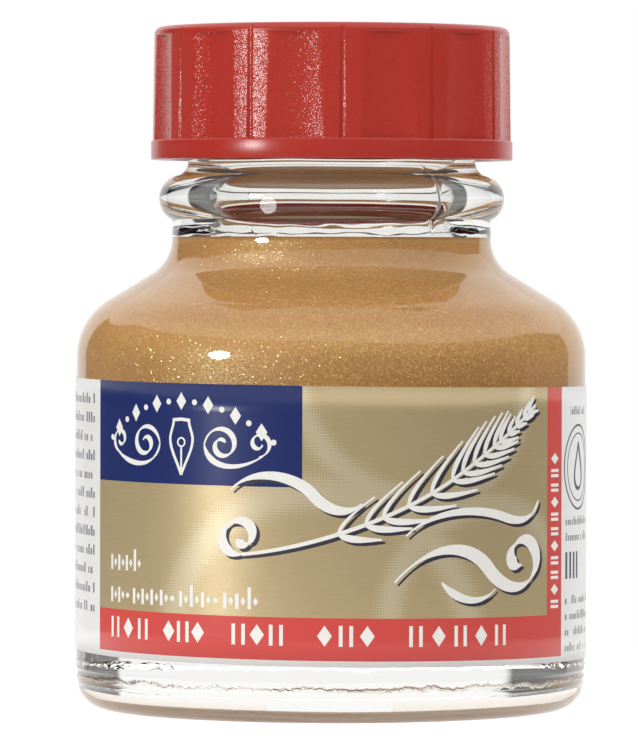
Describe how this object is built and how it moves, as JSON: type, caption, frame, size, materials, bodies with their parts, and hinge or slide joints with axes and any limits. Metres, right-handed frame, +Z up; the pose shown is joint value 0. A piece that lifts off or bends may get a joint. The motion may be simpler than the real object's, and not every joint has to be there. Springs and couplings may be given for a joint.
{
  "type": "calligraphy ink bottle",
  "caption": "Round glass bottle of gold calligraphy ink with a wrap-around paper label and a ribbed red screw cap that unscrews on a right-hand thread.",
  "frame": {"origin": "on the bottle's axis, in the plane that it stands on", "axes": "+Z up along the bottle's axis; -Y out through the middle of the label's front; +X to the right when facing the label"},
  "size_m": [0.0444, 0.0443, 0.0591],
  "materials": {
    "clear_glass": "clear flint glass, fire polished",
    "gold_ink": "opaque metallic ink with fine mica flakes",
    "label_paper": "white film label printed in satin gold, navy and red",
    "red_plastic": "moulded polypropylene, spark-eroded grain on the grip, smooth crown and band",
    "liner_foam": "white expanded polyethylene with film faces"
  },
  "bodies": {
    "bottle": {"bottle": "clear_glass", "ink_fill": "gold_ink", "label": "label_paper"},
    "liner": {"cap_liner": "liner_foam"},
    "cap": {"cap_shell": "red_plastic"}
  },
  "joints": [
    {"name": "cap_lift", "type": "slide", "parent": "bottle", "child": "liner", "axis": [0, 0, 1], "range_m": [0, 0.0107]},
    {"name": "cap_turn", "type": "hinge", "parent": "liner", "child": "cap", "pos_m": [0, 0, 0.057], "axis": [0, 0, 1], "range_deg": [0, 900]}
  ],
  "couplings": [
    {"joint": "cap_lift", "follows": "cap_turn", "m_per_rad": 0.00067375}
  ]
}
